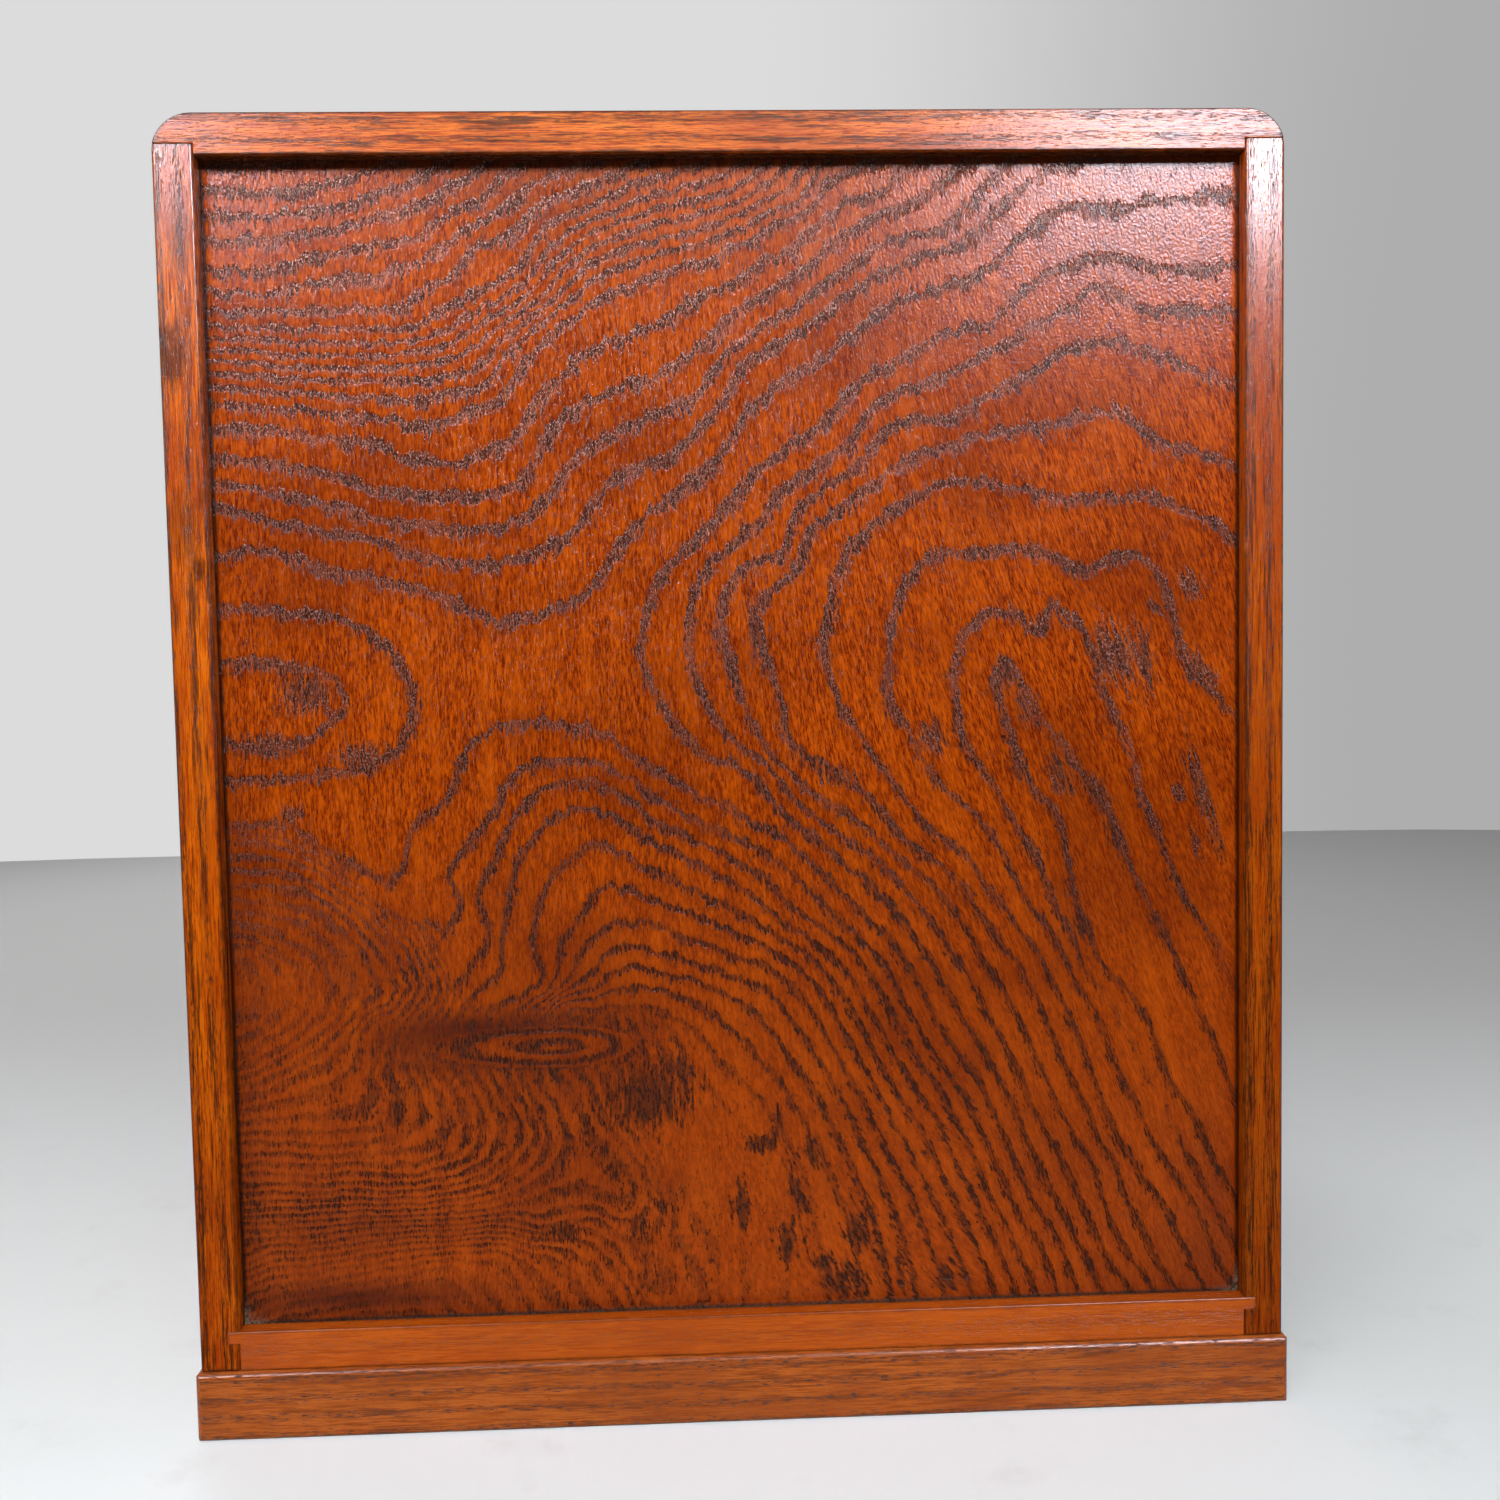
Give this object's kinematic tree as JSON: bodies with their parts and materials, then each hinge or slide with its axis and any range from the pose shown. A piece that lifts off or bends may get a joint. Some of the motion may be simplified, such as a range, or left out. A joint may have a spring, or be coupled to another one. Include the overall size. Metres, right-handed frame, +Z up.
{
  "type": "drawer cabinet",
  "caption": "Small board-built chest of drawers in red-orange lacquer, with a recessed figured back panel, rounded top corners, a low plinth and swinging bail pulls.",
  "frame": {"origin": "centre of the underside of the whole chest on the floor, midway between the back of the plinth and the foremost points of the pulls", "axes": "+X to the right for someone facing the drawers, +Y from the drawer fronts towards the panelled back, +Z up; the drawers open towards -Y"},
  "size_m": [0.3636, 0.294, 0.4265],
  "materials": {
    "case_lacquer": "semi-gloss clear red-orange lacquer on open-grained hardwood",
    "panel_lacquer": "semi-gloss clear red-orange lacquer on strongly figured hardwood with open pores",
    "plinth_lacquer": "semi-gloss clear red-brown lacquer on hardwood",
    "front_lacquer": "semi-gloss clear red-orange lacquer on figured hardwood",
    "pale_wood": "bare planed pale wood",
    "aged_metal": "dark patina, rubbed brighter on the high places"
  },
  "bodies": {
    "case": {"top_board": "case_lacquer", "left_side_board": "case_lacquer", "right_side_board": "case_lacquer", "bottom_board": "case_lacquer", "back_panel": "panel_lacquer", "plinth_front": "plinth_lacquer", "plinth_back": "plinth_lacquer", "plinth_left": "plinth_lacquer", "plinth_right": "plinth_lacquer", "plinth_glue_blocks": "pale_wood", "upper_shelf": "case_lacquer", "middle_shelf": "case_lacquer", "lower_shelf": "case_lacquer", "partition": "case_lacquer", "drawer_stops": "pale_wood"},
    "top_left_drawer": {"top_left_drawer_front": "front_lacquer", "top_left_drawer_left_side": "pale_wood", "top_left_drawer_right_side": "pale_wood", "top_left_drawer_back": "pale_wood", "top_left_drawer_bottom": "pale_wood", "top_left_drawer_pull_posts": "aged_metal", "top_left_drawer_pull_rosettes": "aged_metal"},
    "top_left_bail": {"top_left_drawer_pull_bail": "aged_metal"},
    "top_right_drawer": {"top_right_drawer_front": "front_lacquer", "top_right_drawer_left_side": "pale_wood", "top_right_drawer_right_side": "pale_wood", "top_right_drawer_back": "pale_wood", "top_right_drawer_bottom": "pale_wood", "top_right_drawer_pull_posts": "aged_metal", "top_right_drawer_pull_rosettes": "aged_metal"},
    "top_right_bail": {"top_right_drawer_pull_bail": "aged_metal"},
    "upper_drawer": {"upper_drawer_front": "front_lacquer", "upper_drawer_left_side": "pale_wood", "upper_drawer_right_side": "pale_wood", "upper_drawer_back": "pale_wood", "upper_drawer_bottom": "pale_wood", "upper_drawer_pull_posts": "aged_metal", "upper_drawer_pull_rosettes": "aged_metal"},
    "upper_bail": {"upper_drawer_pull_bail": "aged_metal"},
    "middle_drawer": {"middle_drawer_front": "front_lacquer", "middle_drawer_left_side": "pale_wood", "middle_drawer_right_side": "pale_wood", "middle_drawer_back": "pale_wood", "middle_drawer_bottom": "pale_wood", "middle_drawer_pull_posts": "aged_metal", "middle_drawer_pull_rosettes": "aged_metal"},
    "middle_bail": {"middle_drawer_pull_bail": "aged_metal"},
    "lower_drawer": {"lower_drawer_front": "front_lacquer", "lower_drawer_left_side": "pale_wood", "lower_drawer_right_side": "pale_wood", "lower_drawer_back": "pale_wood", "lower_drawer_bottom": "pale_wood", "lower_drawer_pull_posts": "aged_metal", "lower_drawer_pull_rosettes": "aged_metal"},
    "lower_bail": {"lower_drawer_pull_bail": "aged_metal"}
  },
  "joints": [
    {"name": "top_left_drawer_slide", "type": "slide", "parent": "case", "child": "top_left_drawer", "axis": [0, -1, 0], "range_m": [0, 0.2]},
    {"name": "top_left_bail_swing", "type": "hinge", "parent": "top_left_drawer", "child": "top_left_bail", "pos_m": [-0.0855, -0.1428, 0.38825], "axis": [-1, 0, 0], "range_deg": [-10, 100]},
    {"name": "top_right_drawer_slide", "type": "slide", "parent": "case", "child": "top_right_drawer", "axis": [0, -1, 0], "range_m": [0, 0.2]},
    {"name": "top_right_bail_swing", "type": "hinge", "parent": "top_right_drawer", "child": "top_right_bail", "pos_m": [0.0855, -0.1428, 0.38825], "axis": [-1, 0, 0], "range_deg": [-10, 100]},
    {"name": "upper_drawer_slide", "type": "slide", "parent": "case", "child": "upper_drawer", "axis": [0, -1, 0], "range_m": [0, 0.2]},
    {"name": "upper_bail_swing", "type": "hinge", "parent": "upper_drawer", "child": "upper_bail", "pos_m": [0, -0.1428, 0.30725], "axis": [-1, 0, 0], "range_deg": [-10, 100]},
    {"name": "middle_drawer_slide", "type": "slide", "parent": "case", "child": "middle_drawer", "axis": [0, -1, 0], "range_m": [0, 0.2]},
    {"name": "middle_bail_swing", "type": "hinge", "parent": "middle_drawer", "child": "middle_bail", "pos_m": [0, -0.1428, 0.21175], "axis": [-1, 0, 0], "range_deg": [-10, 100]},
    {"name": "lower_drawer_slide", "type": "slide", "parent": "case", "child": "lower_drawer", "axis": [0, -1, 0], "range_m": [0, 0.2]},
    {"name": "lower_bail_swing", "type": "hinge", "parent": "lower_drawer", "child": "lower_bail", "pos_m": [0, -0.1428, 0.10025], "axis": [-1, 0, 0], "range_deg": [-10, 100]}
  ]
}
